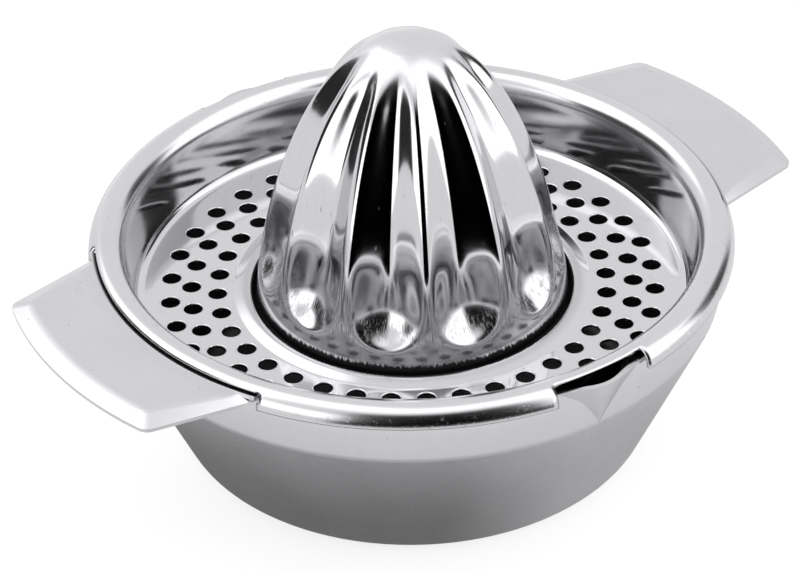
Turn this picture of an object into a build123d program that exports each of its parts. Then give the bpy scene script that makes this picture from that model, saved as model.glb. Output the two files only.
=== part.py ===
from build123d import *
import math
import os

# Hand citrus juicer: a drawn steel bowl with two handle tabs and two pour spouts, a perforated
# strainer dish that hangs in the bowl by its rolled rim, and a fluted reamer cone fixed in the dish.
# Millimetres, +Z up. The origin is the centre of the bowl's underside, on the surface it stands on.
# The handles point along +X and -X, the spouts along +Y and -Y.

# Driving dimensions
sheet = 0.8

# Bowl
base_radius = 51.1
shoulder_radius = 67.2
shoulder_height = 36.0
band_radius = 68.2
band_start = 44.0
bowl_height = 48.0
base_bend = 5.5
shoulder_bend = 5.0
band_bend = 12.0

# Handle tabs, which run on from the bowl's edge
handle_rise = 0.5
handle_tip_radius = 88.3
handle_tip_half = 27.3
handle_root_half = 32.0
handle_corner = 3.0
border_tip_width = 3.6
border_side_width = 3.9
border_root_width = 2.6
border_drop = 1.5
border_corner = 1.5
border_bend = 4.0
border_edge = 0.2
root_bend = 2.0

# Pour spouts
spout_half_angle = 9.3
spout_reach = 71.2
spout_lip_bend = 10.0
spout_tip_half = 0.35

# Strainer dish
floor_level = 33.6
floor_edge_radius = 60.4
floor_bend = 2.2
roll_radius = 3.85
roll_centre_radius = 66.1
roll_centre_height = 46.15
skirt_drop = 0.3
handle_notch_half = 28.5
handle_notch_radius = 68.3
spout_notch_half = 9.5
spout_notch_radius = 67.0
hole_diameter = 4.0
hole_rings = (42.6, 48.35, 53.0)
holes_per_ring = 36
first_hole_angle = -0.8
ring_twist = -3.75

# Raised bead round the dish's centre opening
bead_foot_radius = 40.4
bead_crown_radius = 36.6
bead_height = 1.0
bead_lip_bend = 0.5
bead_foot_bend = 6.0
neck_radius = 34.9

# Reamer cone
flute_count = 11
first_ridge_angle = 12.57
cone_radius = 34.0
cone_height = 62.3
cone_fullness = 1.4
cone_roundness = 0.457
flange_radius = 38.2
flute_wall_angle = 50.0
flute_full_height = 51.0
flute_end_height = 60.5
flute_fade = 1.2
flute_between_heights = (20.0, 30.0, 40.0)
flute_fading_height = 56.0
flute_overrun = 1.5
scoop_top = 12.0
scoop_bottom = 5.0
scoop_curve = 1.4
profile_steps = 10

# Derived dimensions
wall_lean = math.atan((shoulder_radius - base_radius) / shoulder_height)
band_lean = math.atan((band_radius - shoulder_radius) / (band_start - shoulder_height))
band_inside = band_radius - sheet
ridge_half_angle = math.radians(180 / flute_count)
cone_foot = floor_level - sheet
handle_level = bowl_height + handle_rise


def bent_profile(points, radii):
    """A bent line of straight runs joined by arcs, in the sketch plane."""
    return FilletPolyline(*points, radius=radii)


def sector_plane(angle):
    """The upright plane through the axis at an angle round it."""
    turn = math.radians(angle)
    return Plane(
        origin=(0, 0, 0),
        x_dir=(math.cos(turn), math.sin(turn), 0),
        z_dir=(math.sin(turn), -math.cos(turn), 0),
    )


# Handle tab: a flat plate whose border slopes down on three sides
def handle_outline(level, share, inset, inner_radius):
    """The +X tab's outline at a level, drawn in by a share of its border and by an inset."""
    tip_radius = handle_tip_radius - share * border_tip_width - inset
    tip_half = handle_tip_half - share * border_side_width - inset
    root_half = handle_root_half - share * border_root_width - inset
    corner = handle_corner + share * (border_corner - handle_corner)
    tip_x = math.sqrt(tip_radius**2 - tip_half**2)
    root_x = math.sqrt(inner_radius**2 - root_half**2)
    with BuildSketch(Plane.XY.offset(level)) as outline:
        with BuildLine():
            ThreePointArc((tip_x, -tip_half), (tip_radius, 0), (tip_x, tip_half))
            Line((tip_x, tip_half), (root_x, root_half))
            ThreePointArc((root_x, root_half), (inner_radius, 0), (root_x, -root_half))
            Line((root_x, -root_half), (tip_x, -tip_half))
        make_face()
        fillet(outline.vertices().group_by(Axis.X)[-1], corner)
    return outline.sketch


def handle_block(drop, inset, bend, inner_radius):
    """The +X tab as a solid whose top lies a drop below the tab's own top."""
    top = handle_level - drop
    edge = top - border_drop
    with BuildPart() as block:
        add(handle_outline(edge, 0, inset, inner_radius))
        add(handle_outline(top, 1, inset, inner_radius))
        loft()
        bends = block.faces().sort_by(Axis.Z)[-1].edges().sort_by(Axis.X)[1:]
        fillet(bends, bend)
        add(handle_outline(edge, 0, inset, inner_radius))
        extrude(amount=-sheet)
    return block.part


handle_solid = handle_block(0, 0, border_bend, band_radius - sheet / 2)
handle_hollow = handle_block(sheet, border_edge, border_bend - sheet, band_radius - 2 * sheet)
root_angle = math.degrees(math.asin(handle_root_half / band_radius))
root_centre = (band_inside + root_bend, handle_level - root_bend)

with BuildPart() as root_corner:
    with BuildSketch(sector_plane(-root_angle)):
        with BuildLine():
            arc = CenterArc(root_centre, root_bend, 90, 90)
            Polyline(
                arc @ 0,
                (root_centre[0], handle_level + sheet),
                (band_inside - sheet, handle_level + sheet),
                (band_inside - sheet, root_centre[1]),
                arc @ 1,
            )
        make_face()
    revolve(axis=Axis.Z, revolution_arc=2 * root_angle)

with BuildPart() as root_curve:
    with BuildSketch(sector_plane(-root_angle)):
        with BuildLine():
            outer_arc = CenterArc(root_centre, root_bend, 90, 90)
            inner_arc = CenterArc(root_centre, root_bend - sheet, 90, 90)
            Line(outer_arc @ 0, inner_arc @ 0)
            Line(outer_arc @ 1, inner_arc @ 1)
        make_face()
    revolve(axis=Axis.Z, revolution_arc=2 * root_angle)


# Pour spout: a V pressed out of the upper wall, widening from a point at the shoulder up to the lip
def spout_block(inset):
    """The -Y spout as a solid, drawn in by an inset on its outside."""
    half = band_radius * math.sin(math.radians(spout_half_angle)) - inset
    shoulder = band_radius * math.cos(math.radians(spout_half_angle)) - inset
    tip_radius = shoulder_radius - inset
    back = shoulder - 4 * sheet
    tip_back = 4 * spout_tip_half - tip_radius
    tip_side = spout_tip_half - tip_radius
    with BuildPart() as block:
        with BuildSketch(Plane.XY.offset(bowl_height + inset)) as lip:
            with BuildLine():
                Polyline(
                    (-half, -back),
                    (-half, -shoulder),
                    (0, inset - spout_reach),
                    (half, -shoulder),
                    (half, -back),
                    close=True,
                )
            make_face()
            fillet(lip.vertices().sort_by(Axis.Y)[0], spout_lip_bend - inset)
        with BuildSketch(Plane.XY.offset(shoulder_height)) as tip:
            with BuildLine():
                Polyline(
                    (-spout_tip_half, tip_back),
                    (-spout_tip_half, tip_side),
                    (0, -tip_radius),
                    (spout_tip_half, tip_side),
                    (spout_tip_half, tip_back),
                    close=True,
                )
            make_face()
            fillet(tip.vertices().sort_by(Axis.Y)[0], spout_tip_half / 4)
        loft()
    return block.part


spout_solid = spout_block(0)
spout_hollow = spout_block(sheet)

# Bowl: one drawn sheet
def inner_corner(radius, height, lean_below, lean_above):
    """The inner face's corner across the sheet from an outer corner between two leans."""
    middle = (lean_below + lean_above) / 2
    run = sheet / math.cos((lean_below - lean_above) / 2)
    return radius - run * math.cos(middle), height + run * math.sin(middle)


with BuildPart() as bowl:
    with BuildSketch(Plane.XZ):
        with BuildLine():
            outside = bent_profile(
                (
                    (0, 0),
                    (base_radius, 0),
                    (shoulder_radius, shoulder_height),
                    (band_radius, band_start),
                    (band_radius, bowl_height),
                ),
                (base_bend, shoulder_bend, band_bend),
            )
            inside = bent_profile(
                (
                    (0, sheet),
                    inner_corner(base_radius, 0, math.pi / 2, wall_lean),
                    inner_corner(shoulder_radius, shoulder_height, wall_lean, band_lean),
                    inner_corner(band_radius, band_start, band_lean, 0),
                    (band_inside, bowl_height),
                ),
                (base_bend - sheet, shoulder_bend - sheet, band_bend - sheet),
            )
            Line(outside @ 0, inside @ 0)
            Line(outside @ 1, inside @ 1)
        make_face()
    revolve(axis=Axis.Z)
    for turn in (0, 180):
        add(spout_solid.rotate(Axis.Z, turn))
        add(spout_hollow.rotate(Axis.Z, turn), mode=Mode.SUBTRACT)
    for turn in (0, 180):
        add((handle_solid - handle_hollow).rotate(Axis.Z, turn))
        add(root_corner.part.rotate(Axis.Z, turn), mode=Mode.SUBTRACT)
        add(root_curve.part.rotate(Axis.Z, turn))
bowl.part.label = "bowl"

# Strainer dish: perforated floor, steep wall and a rolled rim with a skirt
roll_inside = roll_radius - sheet
rim_inner_radius = roll_centre_radius - roll_radius
skirt_bottom = roll_centre_height - skirt_drop
neck_bottom = floor_level - sheet
rim_notches = [(turn, handle_notch_half, handle_notch_radius) for turn in (0, 180)]
rim_notches += [(turn, spout_notch_half, spout_notch_radius) for turn in (90, 270)]

with BuildPart() as strainer:
    with BuildSketch(Plane.XZ):
        with BuildLine():
            top = bent_profile(
                (
                    (neck_radius, floor_level + bead_height / 2),
                    (bead_crown_radius, floor_level + bead_height),
                    (bead_foot_radius, floor_level),
                    (floor_edge_radius, floor_level),
                    (rim_inner_radius, roll_centre_height),
                ),
                (bead_lip_bend, bead_foot_bend, floor_bend),
            )
            roll = CenterArc((roll_centre_radius, roll_centre_height), roll_radius, 0, 180)
            skirt_outer = Line(roll @ 0, (roll_centre_radius + roll_radius, skirt_bottom))
            skirt_inner_start = (roll_centre_radius + roll_inside, skirt_bottom)
            Line(skirt_outer @ 1, skirt_inner_start)
            under_roll = CenterArc((roll_centre_radius, roll_centre_height), roll_inside, 0, 180)
            Line(skirt_inner_start, under_roll @ 0)
            under = bent_profile(
                (
                    under_roll @ 1,
                    (floor_edge_radius + sheet, floor_level - sheet),
                    (bead_foot_radius, floor_level - sheet),
                    (bead_crown_radius, floor_level + bead_height - sheet),
                    (neck_radius + sheet, floor_level + bead_height / 2 - sheet),
                    (neck_radius + sheet, neck_bottom),
                    (neck_radius, neck_bottom),
                ),
                (floor_bend + sheet, bead_foot_bend, 0, 0, 0),
            )
            Line(under @ 1, top @ 0)
        make_face()
    revolve(axis=Axis.Z)
    for ring, ring_radius in enumerate(hole_rings):
        with BuildSketch(Plane.XY.offset(floor_level - 2 * sheet)):
            start = first_hole_angle + ring * ring_twist
            with PolarLocations(ring_radius, holes_per_ring, start_angle=start):
                Circle(hole_diameter / 2)
        extrude(amount=4 * sheet, mode=Mode.SUBTRACT)
    for middle, half_angle, notch_radius in rim_notches:
        with BuildSketch(sector_plane(middle - half_angle)):
            with Locations((notch_radius, skirt_bottom - sheet)):
                Rectangle(2 * roll_radius, 2 * roll_radius, align=(Align.MIN, Align.MIN))
        revolve(axis=Axis.Z, revolution_arc=2 * half_angle, mode=Mode.SUBTRACT)
strainer.part.label = "strainer"


# Reamer cone: a fluted dome on a flange that is welded under the dish's neck
def envelope_radius(height, inset=0.0):
    """Radius of the cone's ridges at a height above the dish floor."""
    share = min(1.0, height / (cone_height - inset))
    return (cone_radius - inset) * (1 - share**cone_fullness) ** cone_roundness


def flute_section(height):
    """Distance from the axis and radius of a flute's round section at a height."""
    ridge = envelope_radius(height)
    radius = ridge * math.sin(ridge_half_angle) / math.sin(math.radians(flute_wall_angle))
    reach = ridge * math.cos(ridge_half_angle) + radius * math.cos(math.radians(flute_wall_angle))
    depth = ridge - (reach - radius)
    if height > flute_full_height:
        rise = (height - flute_full_height) / (flute_end_height - flute_full_height)
        reach += flute_fade * depth * rise**2
    return reach, radius


def scoop_section(height):
    """The flute's section below scoop_top, where the groove runs out like a spoon."""
    reach, radius = flute_section(scoop_top)
    fall = (scoop_top - height) / (scoop_top - scoop_bottom)
    outward = envelope_radius(scoop_bottom) - (reach - radius)
    return reach + outward * fall**scoop_curve, radius


def flute_cutter(growth):
    """The groove cutter on the +X side, grown by the sheet for the inside of the cone."""
    low = [scoop_bottom - flute_overrun, scoop_bottom, (scoop_bottom + scoop_top) / 2]
    high = [scoop_top, *flute_between_heights, flute_full_height]
    high += [flute_fading_height, flute_end_height]
    sections = [(height, scoop_section(height)) for height in low]
    sections += [(height, flute_section(height)) for height in high]
    with BuildPart() as cutter:
        for height, (reach, radius) in sections:
            with BuildSketch(Plane.XY.offset(floor_level + height)):
                with Locations((reach, 0)):
                    Circle(radius + growth)
        loft()
    return cutter.part


def fluted_dome(inset, foot):
    """A solid dome with its flutes, drawn in by an inset, down to a foot level."""
    steps = [1 - (1 - n / profile_steps) ** 2 for n in range(profile_steps + 1)]
    heights = [(cone_height - inset) * step for step in steps]
    points = [(envelope_radius(height, inset), floor_level + height) for height in heights]
    cutter = flute_cutter(inset)
    with BuildPart() as dome:
        with BuildSketch(Plane.XZ):
            with BuildLine():
                Spline(*points, tangents=((0, 1), (-1, 0)))
                Polyline(points[-1], (0, foot), (points[0][0], foot), points[0])
            make_face()
        revolve(axis=Axis.Z)
        for n in range(flute_count):
            turn = first_ridge_angle + math.degrees(ridge_half_angle) * (2 * n + 1)
            add(cutter.rotate(Axis.Z, turn), mode=Mode.SUBTRACT)
    return dome.part


with BuildPart() as reamer_cone:
    add(fluted_dome(0, cone_foot))
    with BuildSketch(Plane.XY.offset(cone_foot - sheet)):
        Circle(flange_radius)
    extrude(amount=sheet)
    add(fluted_dome(sheet, cone_foot - 2 * sheet), mode=Mode.SUBTRACT)
reamer_cone.part.label = "reamer_cone"

os.makedirs("parts", exist_ok=True)
export_step(bowl.part, "parts/bowl.step")
export_step(strainer.part, "parts/strainer.step")
export_step(reamer_cone.part, "parts/reamer_cone.step")
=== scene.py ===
import math
import bpy
import numpy as np
from mathutils import Matrix, Vector
from mathutils.geometry import delaunay_2d_cdt


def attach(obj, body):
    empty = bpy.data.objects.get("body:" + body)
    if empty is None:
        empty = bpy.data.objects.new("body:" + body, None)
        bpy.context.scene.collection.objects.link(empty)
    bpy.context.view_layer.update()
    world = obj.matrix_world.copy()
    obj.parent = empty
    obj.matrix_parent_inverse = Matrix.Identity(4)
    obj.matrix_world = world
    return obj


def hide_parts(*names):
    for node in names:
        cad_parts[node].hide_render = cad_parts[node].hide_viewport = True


# Hand citrus juicer. All driving values are millimetres and degrees; meshes are built in metres.
MM = 0.001

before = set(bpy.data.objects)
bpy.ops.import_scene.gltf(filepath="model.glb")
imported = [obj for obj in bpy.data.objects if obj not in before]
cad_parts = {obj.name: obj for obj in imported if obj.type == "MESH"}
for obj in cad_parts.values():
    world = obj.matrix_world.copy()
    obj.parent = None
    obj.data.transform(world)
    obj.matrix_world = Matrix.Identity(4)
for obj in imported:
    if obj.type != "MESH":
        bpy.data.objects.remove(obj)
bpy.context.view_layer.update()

SHEET = 0.8
FLOOR_LEVEL = 33.6

# Bowl
SHOULDER_LEVEL = 36.0

# Strainer dish
FLOOR_EDGE_RADIUS = 60.4
FLOOR_BEND = 2.2
ROLL_RADIUS = 3.85
ROLL_CENTRE = (66.1, 12.55)
SKIRT_DROP = 0.3
HANDLE_NOTCH = (28.5, 68.3)
SPOUT_NOTCH = (9.5, 67.0)
HOLE_RADIUS = 2.0
HOLE_LIP = 0.26
HOLE_LOOP = HOLE_RADIUS + HOLE_LIP * 1.5
HOLE_CLEARANCE = 0.985
HOLE_RINGS = (42.6, 48.35, 53.0)
HOLES_PER_RING = 36
FIRST_HOLE_ANGLE = -0.8
RING_TWIST = -3.75
PUNCHED_INNER = 40.1
PUNCHED_OUTER = 55.6
NECK_RADIUS = 34.9
BEAD_CROWN = (36.4, 1.0)
BEAD_FOOT = 39.45

# Reamer cone
FLUTES = 11
FIRST_RIDGE = 12.57
CONE_RADIUS = 34.0
CONE_HEIGHT = 62.3
CONE_FULLNESS = 1.4
CONE_ROUNDNESS = 0.457
VALLEY_SHARE = 0.845
VALLEY_LEAN = 0.0018
VALLEY_LEAN_TOP = 24.0
FLUTE_FULL = 53.0
FLUTE_END = 61.3
FLUTE_FADE = 1.25
FLUTE_FADE_CURVE = 1.7
CREST_SOFT = 1.1
SPOON_SOFT = 0.2
SPOON_SOFT_LEVEL = 10.5
SPOON_SOFT_FADE = 4.0
LIP_SOFT = 0.5
SPOON_LEVEL = 13.3
SPOON_BALL = 9.8
SPOON_BLEND = 10.0
FLANGE_RADIUS = 38.2

COLUMNS = 360


# ---- mesh helpers ----
def make_object(name, verts, faces, body, slot, *nodes):
    mesh = bpy.data.meshes.new(name)
    mesh.from_pydata([tuple(v) for v in np.asarray(verts) * MM], [], faces)
    mesh.validate()
    mesh.shade_smooth()
    obj = bpy.data.objects.new(name, mesh)
    bpy.context.scene.collection.objects.link(obj)
    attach(obj, body)
    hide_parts(*nodes)
    return obj


def rounded(points, radii, steps=8):
    """Samples a polyline whose inner corners are rounded by arcs."""
    pts = [np.array(p, float) for p in points]
    out = [pts[0]]
    for before, corner, after, radius in zip(pts, pts[1:], pts[2:], radii):
        if radius == 0:
            out.append(corner)
            continue
        u = (before - corner) / np.linalg.norm(before - corner)
        w = (after - corner) / np.linalg.norm(after - corner)
        half = math.acos(np.clip(u @ w, -1, 1)) / 2
        run = radius / math.tan(half)
        centre = corner + (u + w) / np.linalg.norm(u + w) * radius / math.sin(half)
        start = corner + u * run - centre
        end = corner + w * run - centre
        turn = math.pi - 2 * half
        for n in range(steps + 1):
            t = n / steps
            arc = (math.sin((1 - t) * turn) * start + math.sin(t * turn) * end) / math.sin(turn)
            out.append(centre + arc)
    out.append(pts[-1])
    return out


def subdivide(points, longest):
    """Splits the straight runs of a sampled profile so that none is longer than a length."""
    out = [points[0]]
    for a, b in zip(points, points[1:]):
        parts = max(1, math.ceil(np.linalg.norm(b - a) / longest))
        out += [a + (b - a) * n / parts for n in range(1, parts + 1)]
    return out


def offset_profile(points, distance):
    """The profile moved sideways, to the right of its direction."""
    pts = np.array(points)
    a = np.diff(pts, axis=0)
    a /= np.linalg.norm(a, axis=1)[:, None]
    tangent = np.vstack([a[:1], a[:-1] + a[1:], a[-1:]])
    tangent /= np.linalg.norm(tangent, axis=1)[:, None]
    half = np.ones(len(pts))
    half[1:-1] = np.sqrt((1 + np.sum(a[:-1] * a[1:], axis=1)) / 2)
    normal = np.stack([tangent[:, 1], -tangent[:, 0]], 1)
    return pts + normal * (distance / half)[:, None]


# ---- strainer ----
def strainer_profile():
    """Top surface of the dish from its neck to the skirt, as (radius, height over the floor)."""
    rim_inner = ROLL_CENTRE[0] - ROLL_RADIUS
    inner = rounded(
        [
            (NECK_RADIUS, -SHEET),
            (NECK_RADIUS, BEAD_CROWN[1] * 0.65),
            BEAD_CROWN,
            (BEAD_FOOT, 0),
            (PUNCHED_INNER, 0),
        ],
        (0.9, 2.2, 2.6),
    )
    outer = rounded(
        [(PUNCHED_OUTER, 0), (FLOOR_EDGE_RADIUS, 0), (rim_inner, ROLL_CENTRE[1])],
        (FLOOR_BEND,),
        10,
    )
    return subdivide(inner, 0.5), subdivide(outer, 1.5)


def roll_rows(radius):
    """The rolled rim's section, in parts that end at the spout cut, handle cut and skirt."""
    cuts = [math.acos((n[1] - ROLL_CENTRE[0]) / radius) for n in (SPOUT_NOTCH, HANDLE_NOTCH)]
    stops = [math.pi, *cuts, 0]
    counts = (16, 4, 10)
    angles = [math.pi]
    for a, b, n in zip(stops, stops[1:], counts):
        angles += [a + (b - a) * (k + 1) / n for k in range(n)]
    pts = [
        np.array((ROLL_CENTRE[0] + radius * math.cos(t), ROLL_CENTRE[1] + radius * math.sin(t)))
        for t in angles
    ]
    pts.append(pts[-1] - np.array((0, SKIRT_DROP)))
    return pts, (counts[0], counts[0] + counts[1])


def column_angles():
    return (np.arange(COLUMNS) + 0.5) * 360 / COLUMNS


def away_from(angle, middle):
    return abs((angle - middle + 180) % 360 - 180)


def last_row(angle, cuts, whole):
    """How far out the rolled rim reaches at an angle, as a row number."""
    if min(away_from(angle, 90), away_from(angle, 270)) < SPOUT_NOTCH[0]:
        return cuts[0]
    if min(away_from(angle, 0), away_from(angle, 180)) < HANDLE_NOTCH[0]:
        return cuts[1]
    return whole


def revolve_rows(points):
    turn = np.radians(column_angles())
    return np.array(
        [
            np.stack([p[0] * np.cos(turn), p[0] * np.sin(turn), turn * 0 + p[1] + FLOOR_LEVEL], 1)
            for p in points
        ]
    )


class Builder:
    """Collects points and faces, numbering the points in the order they are added."""

    def __init__(self):
        self.verts = []
        self.faces = []

    def add(self, pts):
        start = len(self.verts)
        self.verts += [np.array(p) for p in pts]
        return np.arange(start, len(self.verts))

    def grid(self, pts):
        return np.array([self.add(row) for row in pts])

    def face(self, *numbers):
        self.faces.append(tuple(int(n) for n in numbers))

    def quads(self, a, b, flip=False):
        """Faces between two closed rows of point numbers."""
        n = len(a)
        for j in range(n):
            k = (j + 1) % n
            corners = (a[j], b[j], b[k], a[k])
            self.face(*(corners[::-1] if flip else corners))


def hole_centres():
    for ring, radius in enumerate(HOLE_RINGS):
        for n in range(HOLES_PER_RING):
            turn = math.radians(FIRST_HOLE_ANGLE + ring * RING_TWIST + 360 / HOLES_PER_RING * n)
            yield np.array((radius * math.cos(turn), radius * math.sin(turn)))


def punched_sheet(builder, inner_row, outer_row, loops, up):
    """Fills the flat ring between two rows of points, round the hole loops."""
    numbers = [list(inner_row), list(outer_row)] + [list(row) for row in loops]
    flat = [n for row in numbers for n in row]
    coords = [Vector(builder.verts[n][:2]) for n in flat]
    edges = []
    start = 0
    for row in numbers:
        edges += [(start + k, start + (k + 1) % len(row)) for k in range(len(row))]
        start += len(row)
    made = delaunay_2d_cdt(coords, edges, [], 0, 1e-7)
    points, triangles, origin = made[0], made[2], made[3]
    centres = np.array(list(hole_centres()))
    inner = np.hypot(*builder.verts[inner_row[0]][:2])
    for tri in triangles:
        middle = np.mean([points[k][:] for k in tri], axis=0)
        if np.hypot(*middle) < inner * math.cos(math.pi / COLUMNS):
            continue
        if np.min(np.hypot(*(centres - middle).T)) < HOLE_LOOP * HOLE_CLEARANCE:
            continue
        corners = [flat[origin[k][0]] for k in tri]
        a, b, c = (builder.verts[n][:2] for n in corners)
        if (np.cross(b - a, c - a) > 0) != up:
            corners.reverse()
        builder.face(*corners)


def build_strainer():
    b = Builder()
    inner, outer = strainer_profile()
    roll, cuts = roll_rows(ROLL_RADIUS)
    under_roll, _ = roll_rows(ROLL_RADIUS - SHEET)
    under_inner = offset_profile(inner, SHEET)
    under_outer = offset_profile(outer, SHEET)
    top_in = b.grid(revolve_rows(inner))
    low_in = b.grid(revolve_rows(under_inner))
    top_out = b.grid(revolve_rows(outer[:-1] + roll))
    low_out = b.grid(revolve_rows(list(under_outer[:-1]) + under_roll))
    for rows, flip in ((top_in, False), (low_in, True)):
        for a, c in zip(rows, rows[1:]):
            b.quads(a, c, flip)
    b.quads(low_in[0], top_in[0])
    first = len(outer) - 1
    whole = len(roll) - 1
    reach = [last_row(a + 0.5, cuts, whole) for a in column_angles()]
    rim_faces(b, top_out, low_out, first, reach)
    loops_top, loops_low = [], []
    for centre in hole_centres():
        rows = punched_hole(b, centre)
        loops_top.append(rows[0])
        loops_low.append(rows[-1])
    punched_sheet(b, top_in[-1], top_out[0], loops_top, True)
    punched_sheet(b, low_in[-1], low_out[0], loops_low, False)
    return make_object(
        "strainer_dish", b.verts, b.faces, "strainer_and_cone", "strainer_steel", "strainer"
    )


def rim_faces(b, top, low, first, reach):
    """Both faces of the dish's wall and roll, stopped at the notches, and the sheet's cut edge."""
    n = top.shape[1]
    for j in range(n):
        k = (j + 1) % n
        stop = first + reach[j]
        for i in range(stop):
            b.face(top[i, j], top[i + 1, j], top[i + 1, k], top[i, k])
            b.face(low[i, k], low[i + 1, k], low[i + 1, j], low[i, j])
        b.face(top[stop, j], low[stop, j], low[stop, k], top[stop, k])
        after = first + reach[k]
        for i in range(min(stop, after), max(stop, after)):
            edge = (top[i, k], low[i, k], low[i + 1, k], top[i + 1, k])
            b.face(*(edge if stop < after else edge[::-1]))


def punched_hole(b, centre):
    """One punched hole: a softly rolled upper edge, the bore and a small burr-free lower edge."""
    segments = 32
    turn = np.linspace(0, 2 * math.pi, segments, endpoint=False)
    rows = [(HOLE_LOOP, 0)]
    for t in np.linspace(0, math.pi / 2, 5):
        rows.append((HOLE_RADIUS + HOLE_LIP * (1 - math.sin(t)), HOLE_LIP * (math.cos(t) - 1)))
    edge = 0.1
    rows.append((HOLE_RADIUS, edge - SHEET))
    rows.append((HOLE_RADIUS + edge, -SHEET))
    rows.append((HOLE_LOOP, -SHEET))
    numbers = []
    for radius, height in rows:
        ring = np.stack(
            [
                centre[0] + radius * np.cos(turn),
                centre[1] + radius * np.sin(turn),
                turn * 0 + FLOOR_LEVEL + height,
            ],
            1,
        )
        numbers.append(b.add(ring))
    for a, c in zip(numbers, numbers[1:]):
        b.quads(a, c, True)
    return numbers


# ---- reamer cone ----
RIDGE_HALF = math.pi / FLUTES
FIELD_STEP = 0.1
FIELD_TURNS = 192
HALF_STEPS = 26
FINE_ROWS_TOP = 16.0
FINE_ROWS_FOOT = 3.5
LIP_REACH = 20


def envelope(height):
    share = np.clip(np.asarray(height, float) / CONE_HEIGHT, 0, 1)
    return CONE_RADIUS * (1 - share**CONE_FULLNESS) ** CONE_ROUNDNESS


def smoothstep(t):
    t = np.clip(t, 0, 1)
    return t * t * (3 - 2 * t)


def valley_share(height):
    return VALLEY_SHARE + VALLEY_LEAN * np.clip(VALLEY_LEAN_TOP - height, 0, None)


def valley(height):
    return valley_share(height) * envelope(height)


def groove_foot(height):
    """Radius of a groove's round foot: a ball that closes the groove below its middle."""
    drop = np.clip(SPOON_LEVEL - height, 0, SPOON_BALL * 0.98)
    return np.sqrt(SPOON_BALL**2 - drop**2), drop


def groove_bottom(height):
    """Distance of a groove's bottom from the axis: straight up the flute, a spoon at its foot."""
    ball, drop = groove_foot(height)
    lean = valley(SPOON_LEVEL) - valley(SPOON_LEVEL + 1)
    bottom = valley(np.maximum(height, SPOON_LEVEL)) + lean * drop + SPOON_BALL - ball
    rise = np.clip((height - FLUTE_FULL) / (FLUTE_END - FLUTE_FULL), 0, None)
    depth = (1 - valley_share(height)) * envelope(height)
    return bottom + depth * FLUTE_FADE * rise**FLUTE_FADE_CURVE


def blurred(rows, width):
    """Rounds a closed row of values with a bell curve of a width in samples."""
    reach = np.fft.fftfreq(rows.shape[1])
    bell = np.exp(-2 * (math.pi * reach[None] * width[:, None]) ** 2)
    return np.real(np.fft.ifft(np.fft.fft(rows, axis=1) * bell, axis=1))


def cone_field():
    """Distance of the cone's outer face from its axis over one flute, by height and turn."""
    height = np.arange(0, CONE_HEIGHT, FIELD_STEP)
    turn = (np.arange(FIELD_TURNS) / FIELD_TURNS * 2 - 1) * RIDGE_HALF
    ridge = envelope(height)
    bottom = groove_bottom(height)
    low = np.minimum(bottom, ridge)
    depth_share = valley_share(height)[:, None]
    side = np.arctan((math.cos(RIDGE_HALF) - depth_share) / math.sin(RIDGE_HALF))
    bottom = bottom[:, None]
    facets = bottom * np.cos(side) / np.cos(np.abs(turn)[None] + side)
    ball = groove_foot(height)[0][:, None]
    centre = bottom + ball
    across = ball**2 - (centre * np.sin(turn)[None]) ** 2
    round_cut = centre * np.cos(turn)[None] - np.sqrt(np.clip(across, 0, None))
    round_cut = np.where(across > 0, round_cut, ridge[:, None])
    rounding = smoothstep((SPOON_LEVEL + SPOON_BLEND - height) / SPOON_BLEND)[:, None]
    field = np.minimum(facets * (1 - rounding) + round_cut * rounding, ridge[:, None])
    soft = CREST_SOFT + SPOON_SOFT * smoothstep((SPOON_SOFT_LEVEL - height) / SPOON_SOFT_FADE)
    width = soft / np.maximum(ridge, 4) / (2 * RIDGE_HALF) * FIELD_TURNS
    field = blurred(field, width)
    least, most = field.min(1, keepdims=True), field.max(1, keepdims=True)
    spread = np.maximum(most - least, 1e-9)
    field = low[:, None] + (field - least) / spread * (ridge - low)[:, None]
    ratio = field / np.maximum(ridge, 1e-6)[:, None]
    steps = np.arange(-LIP_REACH, LIP_REACH + 1)
    kernel = np.exp(-0.5 * (steps * FIELD_STEP / LIP_SOFT) ** 2)
    kernel /= kernel.sum()
    padded = np.pad(ratio, ((LIP_REACH, LIP_REACH), (0, 0)), mode="edge")
    ratio = sum(k * padded[n : n + len(ratio)] for n, k in enumerate(kernel))
    return height, turn, ratio


def section_row(field, height):
    """All the points round the cone at a height, spaced evenly along its outline."""
    levels, turn, ratio = field
    place = min(max(height, 0) / FIELD_STEP, len(levels) - 1.001)
    n = int(place)
    row = ratio[n] * (n + 1 - place) + ratio[n + 1] * (place - n)
    row = np.append(row, row[0]) * envelope(height)
    turn = np.append(turn, RIDGE_HALF)
    half = turn >= 0
    angle, radius = RIDGE_HALF - turn[half][::-1], row[half][::-1]
    xy = np.stack([radius * np.cos(angle), radius * np.sin(angle)], 1)
    run = np.concatenate([[0], np.cumsum(np.hypot(*np.diff(xy, axis=0).T))])
    want = (np.arange(HALF_STEPS + 1) / HALF_STEPS) ** 1.15 * run[-1]
    angle = np.interp(want, run, angle)
    radius = np.interp(want, run, radius)
    angle = np.concatenate([angle[:-1], 2 * RIDGE_HALF - angle[:0:-1]])
    radius = np.concatenate([radius[:-1], radius[:0:-1]])
    turns = [math.radians(FIRST_RIDGE) + 2 * RIDGE_HALF * n + angle for n in range(FLUTES)]
    turn = np.concatenate(turns)
    radius = np.tile(radius, FLUTES)
    return np.stack([radius * np.cos(turn), radius * np.sin(turn), turn * 0 + height], 1)


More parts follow.
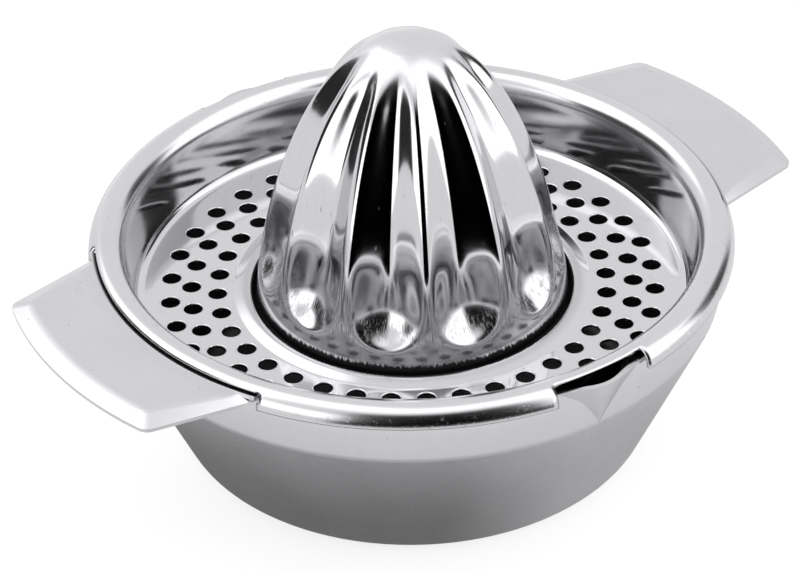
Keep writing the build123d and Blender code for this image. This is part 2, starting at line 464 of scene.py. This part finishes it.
def cone_heights():
    """Levels of the outer rows, from the crown down to the foot."""
    crown = CONE_HEIGHT * (1 - (np.arange(1, 9) / 24) ** 2)
    crown = crown[crown > FLUTE_END]
    body = np.concatenate(
        [
            np.linspace(FLUTE_END, FLUTE_FULL, 20),
            np.linspace(FLUTE_FULL, FINE_ROWS_TOP, 30)[1:],
            np.linspace(FINE_ROWS_TOP, FINE_ROWS_FOOT, 46)[1:],
            np.linspace(FINE_ROWS_FOOT, 0, 6)[1:],
        ]
    )
    return np.concatenate([crown, body])


def build_cone():
    field = cone_field()
    b = Builder()
    heights = cone_heights()
    outer = np.array([section_row(field, h) for h in heights])
    foot = outer[-1].copy()
    foot[:, 2] = -SHEET
    outer = np.concatenate([outer, foot[None]])
    # inner face: the outer one moved in along its normals
    normals = grid_normals(outer)
    keep = [i for i in range(len(outer) - 1) if i % 3 == 0 or i < 6]
    inner = (outer - normals * SHEET)[keep]
    direction = foot[:, :2] / np.hypot(*foot[:, :2].T)[:, None]
    flange = []
    for radius, level in (
        (FLANGE_RADIUS, -SHEET),
        (FLANGE_RADIUS, -2 * SHEET),
        (CONE_RADIUS - SHEET, -2 * SHEET),
    ):
        flange.append(np.concatenate([direction * radius, np.full((len(foot), 1), level)], 1))
    rows = list(outer) + flange + list(inner[::-1])
    rows = [b.add(row + np.array((0, 0, FLOOR_LEVEL))) for row in rows]
    for a, c in zip(rows, rows[1:]):
        b.quads(a, c)
    top = b.add([(0, 0, FLOOR_LEVEL + CONE_HEIGHT)])[0]
    low = b.add([(0, 0, FLOOR_LEVEL + CONE_HEIGHT - SHEET)])[0]
    n = len(rows[0])
    for j in range(n):
        k = (j + 1) % n
        b.face(top, rows[0][j], rows[0][k])
        b.face(low, rows[-1][k], rows[-1][j])
    return make_object(
        "fluted_reamer", b.verts, b.faces, "strainer_and_cone", "cone_steel", "reamer_cone"
    )


def grid_normals(rows):
    around = np.roll(rows, -1, axis=1) - np.roll(rows, 1, axis=1)
    down = np.gradient(rows, axis=0)
    normal = np.cross(down, around)
    return normal / np.linalg.norm(normal, axis=2)[:, :, None]


# ---- materials ----
STEEL_TINT = (0.985, 0.982, 1.0)


class Math:
    """Short calls for building number nodes in a tree."""

    def __init__(self, tree):
        self.tree = tree

    def feed(self, socket, value):
        if isinstance(value, (int, float)):
            socket.default_value = value
        else:
            self.tree.links.new(value, socket)

    def op(self, kind, *values):
        node = self.tree.nodes.new("ShaderNodeMath")
        node.operation = kind
        for slot, value in zip(node.inputs, values):
            self.feed(slot, value)
        return node.outputs[0]

    def total(self, *values):
        out = values[0]
        for value in values[1:]:
            out = self.op("ADD", out, value)
        return out

    def times(self, *values):
        out = values[0]
        for value in values[1:]:
            out = self.op("MULTIPLY", out, value)
        return out

    def mix(self, low, high, share):
        node = self.tree.nodes.new("ShaderNodeMix")
        self.feed(node.inputs["Factor"], share)
        self.feed(node.inputs["A"], low)
        self.feed(node.inputs["B"], high)
        return node.outputs["Result"]

    def ramp(self, value, low, high):
        node = self.tree.nodes.new("ShaderNodeMapRange")
        node.interpolation_type = "SMOOTHSTEP"
        node.inputs["From Min"].default_value = low
        node.inputs["From Max"].default_value = high
        self.feed(node.inputs["Value"], value)
        return node.outputs["Result"]

    def band(self, value, low, high, soft_low, soft_high):
        """1 between two limits, falling off smoothly outside them."""
        up = self.ramp(value, low - soft_low / 2, low + soft_low / 2)
        down = self.ramp(value, high - soft_high / 2, high + soft_high / 2)
        return self.times(up, self.op("SUBTRACT", 1.0, down))

    def noise(self, x, y, z, scale, detail):
        """Noise whose grain can be stretched along an axis by scaling the inputs."""
        join = self.tree.nodes.new("ShaderNodeCombineXYZ")
        for slot, value in zip(join.inputs, (x, y, z)):
            self.feed(slot, value)
        node = self.tree.nodes.new("ShaderNodeTexNoise")
        node.inputs["Scale"].default_value = scale
        node.inputs["Detail"].default_value = detail
        self.tree.links.new(join.outputs[0], node.inputs["Vector"])
        return node.outputs["Fac"]

    def place(self):
        """Object coordinates in millimetres: x, y, z, the distance from the axis and the turn."""
        coords = self.tree.nodes.new("ShaderNodeTexCoord")
        split = self.tree.nodes.new("ShaderNodeSeparateXYZ")
        self.tree.links.new(coords.outputs["Object"], split.inputs[0])
        x, y, z = (self.times(out, 1 / MM) for out in split.outputs)
        radius = self.op("SQRT", self.total(self.times(x, x), self.times(y, y)))
        return x, y, z, radius, self.op("ARCTAN2", y, x)

    def facing(self, x, y, radius):
        """How far the surface faces outward from the axis, and upward."""
        geometry = self.tree.nodes.new("ShaderNodeNewGeometry")
        split = self.tree.nodes.new("ShaderNodeSeparateXYZ")
        self.tree.links.new(geometry.outputs["Normal"], split.inputs[0])
        nx, ny, nz = split.outputs
        along = self.total(self.times(nx, x), self.times(ny, y))
        return self.op("DIVIDE", along, radius), nz


def steel(name):
    """An empty stainless steel, with helpers to fill in its gloss, colour and relief."""
    mat = bpy.data.materials.new(name)
    mat.use_nodes = True
    mat.node_tree.nodes["Principled BSDF"].inputs["Metallic"].default_value = 1.0
    return mat, Math(mat.node_tree)


def dress(mat, m, brightness, roughness, relief, depth):
    """Links a grey level, a roughness and a relief in millimetres to the steel."""
    nodes, links = mat.node_tree.nodes, mat.node_tree.links
    shader = nodes["Principled BSDF"]
    colour = nodes.new("ShaderNodeCombineColor")
    for slot, tint in zip(colour.inputs, STEEL_TINT):
        links.new(m.times(brightness, tint), slot)
    links.new(colour.outputs[0], shader.inputs["Base Color"])
    links.new(roughness, shader.inputs["Roughness"])
    bump = nodes.new("ShaderNodeBump")
    bump.inputs["Strength"].default_value = 1.0
    bump.inputs["Distance"].default_value = depth * MM
    links.new(relief, bump.inputs["Height"])
    links.new(bump.outputs["Normal"], shader.inputs["Normal"])
    return mat


def bowl_material():
    """Satin outside with fine turning marks; a dull interior whose colour is darkened with painted
    shade.
    """
    mat, m = steel("bowl_satin_steel")
    x, y, z, radius, turn = m.place()
    outward, upward = m.facing(x, y, radius)
    in_wall = m.ramp(outward, -0.05, -0.3)
    in_base = m.times(m.ramp(upward, 0.3, 0.6), m.ramp(radius, 66.5, 65.5))
    shaded_inside = m.op("MAXIMUM", in_wall, in_base)
    shaded_inside = m.times(shaded_inside, m.ramp(radius, 69.5, 68.6))
    turned = m.noise(m.times(turn, 4.0), m.times(z, 2.2), m.times(radius, 2.2), 1.0, 3.0)
    cloud = m.noise(x, y, z, 0.06, 3.0)
    upright = m.noise(m.times(turn, 26.0), m.times(z, 0.05), radius, 1.0, 2.0)
    grain = m.noise(x, y, z, 1.6, 3.0)
    satin = m.ramp(z, SHOULDER_LEVEL + 0.6, SHOULDER_LEVEL - 0.8)
    specks = m.ramp(m.noise(x, y, z, 0.9, 1.0), 0.78, 0.82)
    bright = m.total(0.62, m.times(cloud, 0.05), m.times(upright, 0.03))
    bright = m.total(bright, m.times(specks, -0.25))
    mottle = m.total(m.times(grain, 0.16), m.times(cloud, 0.1), -0.11)
    bright = m.total(bright, m.times(satin, mottle))
    rough = m.total(0.09, m.times(turned, 0.08), m.times(cloud, 0.05), m.times(specks, 0.2))
    tab = m.ramp(radius, 69.5, 72.5)
    rough = m.total(rough, m.times(satin, 0.1), m.times(satin, grain, 0.1), m.times(tab, 0.17))
    relief = m.total(m.times(turned, 0.04), m.times(cloud, 0.3), m.times(specks, -0.3))
    relief = m.total(relief, m.times(satin, grain, 0.15))
    # painted shade: the bowl's interior gets a dark colour for the shade in the closed space under
    # the dish
    bright = m.mix(bright, 0.13, shaded_inside)
    rough = m.mix(rough, 0.4, shaded_inside)
    return dress(mat, m, bright, rough, relief, 0.05)


def strainer_material():
    """Bright polished floor, a wall darkened with painted shade and given drawing streaks, and a
    buffed, worn rim.
    """
    mat, m = steel("strainer_polished_steel")
    x, y, z, radius, turn = m.place()
    level = m.total(z, -FLOOR_LEVEL)
    wall = m.band(level, 0.9, 11.5, 1.2, 2.5)
    rim = m.ramp(level, 10.5, 13.0)
    skirt = m.times(m.ramp(radius, 68.9, 69.6), rim)
    streaks = m.noise(m.times(turn, 9.0), m.times(z, 1.6), m.times(radius, 1.6), 1.0, 3.0)
    cloud = m.noise(x, y, z, 0.07, 2.0)
    hairs = m.ramp(m.noise(m.times(turn, 60.0), z, m.times(radius, 0.6), 1.0, 3.0), 0.55, 0.75)
    marks = m.ramp(m.noise(x, m.times(y, 0.2), z, 0.7, 2.0), 0.66, 0.72)
    rough = m.total(0.055, m.times(cloud, 0.04), m.times(marks, 0.06))
    rough = m.total(rough, m.times(rim, 0.14), m.times(streaks, wall, 0.05))
    rough = m.total(rough, m.times(hairs, skirt, 0.2))
    # painted shade: the dish's wall gets a darker colour than the floor for the dark reflections it
    # shows
    bright = m.total(0.66, m.times(cloud, 0.05), m.times(wall, -0.26), m.times(marks, -0.04))
    bright = m.total(bright, m.times(hairs, skirt, 0.1))
    relief = m.total(m.times(cloud, 0.6), m.times(streaks, 0.04), m.times(hairs, skirt, 0.1))
    return dress(mat, m, bright, rough, relief, 0.04)


def cone_material():
    """Mirror flutes with lengthwise polishing hairs, a soft crown, satin spoons, and a rough seam at
    the foot darkened with painted shade.
    """
    mat, m = steel("cone_polished_steel")
    x, y, z, radius, turn = m.place()
    level = m.total(z, -FLOOR_LEVEL)
    crown = m.ramp(level, 52.0, 60.0)
    spoon = m.ramp(level, 19.0, 12.0)
    scoured = m.band(level, 6.5, 10.5, 2.0, 3.0)
    hairs = m.noise(m.times(turn, 34.0), m.times(z, 0.12), radius, 1.0, 4.0)
    fine = m.ramp(m.noise(m.times(turn, 110.0), m.times(z, 0.25), radius, 1.0, 2.0), 0.5, 0.7)
    cloud = m.noise(x, y, z, 0.08, 2.0)
    scratch = m.noise(m.times(x, 2.0), m.times(y, 2.0), m.times(z, 0.3), 0.6, 2.0)
    scratch = m.ramp(scratch, 0.7, 0.76)
    ragged = m.noise(m.times(turn, 70.0), m.times(z, 0.5), radius, 1.0, 3.0)
    seam_shade = m.ramp(m.total(level, m.times(ragged, -2.4)), 1.2, 0.4)
    rough = m.total(0.05, m.times(cloud, 0.04), m.times(hairs, 0.03), m.times(crown, 0.2))
    rough = m.total(rough, m.times(spoon, 0.08), m.times(scratch, 0.1))
    rough = m.total(rough, m.times(fine, scoured, 0.25))
    bright = m.total(0.66, m.times(hairs, 0.06), m.times(scratch, -0.12))
    bright = m.total(bright, m.times(fine, scoured, -0.25))
    relief = m.total(m.times(cloud, 0.7), m.times(hairs, 0.05), m.times(scratch, -0.15))
    relief = m.total(relief, m.times(fine, scoured, 0.2), m.times(ragged, seam_shade, 1.5))
    # painted shade: the rough band at the cone's foot gets a near-black colour for the shadow in the
    # groove where the cone meets the dish
    bright = m.mix(bright, 0.035, seam_shade)
    rough = m.mix(rough, 0.5, seam_shade)
    return dress(mat, m, bright, rough, relief, 0.04)


# ---- studio ----
# The camera's turn and roll are angles, its distance and target are metres, its lens is millimetres.
PHOTO_TURN = math.radians(-33.9)
CAMERA_ELEVATION = 0.60339
CAMERA_DISTANCE = 0.75872
CAMERA_TARGET = (-0.0026916, -0.0008673, 0.0336)
CAMERA_ROLL = -0.02305
LENS = 156.106


def build_camera():
    data = bpy.data.cameras.new("camera")
    data.lens = LENS
    data.sensor_width = 36
    data.clip_start = 0.01
    data.clip_end = 20
    cam = bpy.data.objects.new("camera", data)
    bpy.context.scene.collection.objects.link(cam)
    bpy.context.scene.camera = cam
    back = Vector((0, -math.cos(CAMERA_ELEVATION), math.sin(CAMERA_ELEVATION)))
    right = Vector((1, 0, 0))
    up = back.cross(right)
    c, s = math.cos(CAMERA_ROLL), math.sin(CAMERA_ROLL)
    right, up = c * right + s * up, c * up - s * right
    turn = Matrix.Rotation(PHOTO_TURN, 4, "Z")
    place = Vector(CAMERA_TARGET) + back * CAMERA_DISTANCE
    axes = Matrix((right, up, back)).transposed().to_4x4()
    cam.matrix_world = turn @ (Matrix.Translation(place) @ axes)


def floor_plane(name):
    mesh = bpy.data.meshes.new(name)
    size = 5.0
    corners = [(-size, -size, 0), (size, -size, 0), (size, size, 0), (-size, size, 0)]
    mesh.from_pydata(corners, [], [(0, 1, 2, 3)])
    obj = bpy.data.objects.new(name, mesh)
    bpy.context.scene.collection.objects.link(obj)
    mat = bpy.data.materials.new(name)
    mat.use_nodes = True
    obj.data.materials.append(mat)
    return obj, mat.node_tree


def build_floor():
    """The pale floor under the object."""
    floor, tree = floor_plane("floor")
    shader = tree.nodes["Principled BSDF"]
    shader.inputs["Base Color"].default_value = (0.3, 0.3, 0.303, 1)
    shader.inputs["Roughness"].default_value = 0.9
    shader.inputs["Specular IOR Level"].default_value = 0.0
    shader.inputs["Emission Color"].default_value = (1, 1, 1, 1)
    shader.inputs["Emission Strength"].default_value = 0.8
    floor.visible_glossy = False


def build_table():
    """What the steel sees of the table, as a glowing plane with painted light: painted shade beside
    the bowl, a lighter side towards the lamps, and painted darkness towards the front.
    """
    table, tree = floor_plane("table_in_reflections")
    table.visible_camera = False
    table.visible_diffuse = False
    table.visible_shadow = False
    m = Math(tree)
    _, _, _, radius, turn = m.place()
    azimuth = m.times(turn, 180 / math.pi)
    azimuth = m.op("FLOORED_MODULO", m.total(azimuth, -math.degrees(PHOTO_TURN)), 360.0)
    # painted shade and light: the glowing table is dim beside the bowl, brighter on the side towards
    # the lamps, and fully bright further out
    near = m.ramp(radius, *TABLE_SHADE_RADII)
    toward_light = m.op("COSINE", m.total(turn, -math.radians(LIT_SIDE) - PHOTO_TURN))
    lit_side = m.ramp(toward_light, 0.3, 0.95)
    light = m.total(TABLE_SHADE, m.times(lit_side, TABLE_LIT))
    light = m.mix(light, TABLE_LIGHT, near)
    # painted shade: the table goes dark far out towards the front
    front_shade = m.times(
        m.band(azimuth, *DARK_FRONT, 3.0, 3.0), m.ramp(radius, *FRONT_SHADE_EDGE)
    )
    light = m.times(light, m.op("SUBTRACT", 1.0, front_shade))
    tree.nodes.remove(tree.nodes["Principled BSDF"])
    glow = tree.nodes.new("ShaderNodeEmission")
    glow.inputs["Color"].default_value = (0.99, 0.985, 1.0, 1)
    tree.links.new(light, glow.inputs["Strength"])
    tree.links.new(glow.outputs[0], tree.nodes["Material Output"].inputs["Surface"])


# Soft boxes and dark flats round the object, in degrees from the photo's right and from level:
# azimuth from, to, elevation from, to, softness of the edges, light
DARK_FRONT = (246.5, 311.5)
LIT_SIDE = 345
ROOM_LIGHT = 0.95
# Painted light of the table seen in reflections: its shade by the bowl, its lit side, its full light
# and its dark front.
TABLE_SHADE = 0.2
TABLE_LIT = 0.3
TABLE_LIGHT = 0.92
TABLE_SHADE_RADII = (54.0, 108.0)
FRONT_SHADE_EDGE = (158.0, 172.0)
BLACK_FADE = 14
LIGHTS = (
    (205, 245, -40, 32, 3, 1.9),
    (120, 205, 28, 100, 10, 2.0),
    (315, 385, -40, 70, 3, 1.7),
    (-400, 400, 62, 100, 12, 1.6),
    (85, 118, -40, 2, 5, 1.8),
)
DARKS = (
    (*DARK_FRONT, -60, 52, 3, 0.0),
    (150, 203, -10, 30, 6, 0.03),
    (17, 46, -10, 28, 6, 0.04),
)


def build_world():
    world = bpy.data.worlds.new("studio")
    bpy.context.scene.world = world
    world.use_nodes = True
    tree = world.node_tree
    tree.nodes.clear()
    m = Math(tree)
    coords = tree.nodes.new("ShaderNodeTexCoord")
    split = tree.nodes.new("ShaderNodeSeparateXYZ")
    tree.links.new(coords.outputs["Generated"], split.inputs[0])
    x, y, z = split.outputs
    azimuth = m.times(m.op("ARCTAN2", y, x), 180 / math.pi)
    azimuth = m.op("FLOORED_MODULO", m.total(azimuth, -math.degrees(PHOTO_TURN)), 360.0)
    elevation = m.times(m.op("ARCSINE", z), 180 / math.pi)
    level = ROOM_LIGHT
    for low, high, below, above, soft, light in LIGHTS + DARKS:
        around = azimuth
        if high > 360:
            around = m.total(azimuth, m.times(m.op("LESS_THAN", azimuth, 180.0), 360.0))
        fade = BLACK_FADE if light == 0 else soft
        share = m.times(
            m.band(around, low, high, soft, soft), m.band(elevation, below, above, soft, fade)
        )
        level = m.mix(level, light, share)
    background = tree.nodes.new("ShaderNodeBackground")
    background.inputs["Color"].default_value = (0.985, 0.985, 1.0, 1)
    tree.links.new(level, background.inputs["Strength"])
    output = tree.nodes.new("ShaderNodeOutputWorld")
    tree.links.new(background.outputs[0], output.inputs["Surface"])


build_camera()
build_world()
build_floor()
build_table()
strainer = build_strainer()
cone = build_cone()
strainer.data.materials.append(strainer_material())
cone.data.materials.append(cone_material())
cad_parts["bowl"].material_slots[0].material = bowl_material()

scene = bpy.context.scene
scene.view_settings.view_transform = "Standard"
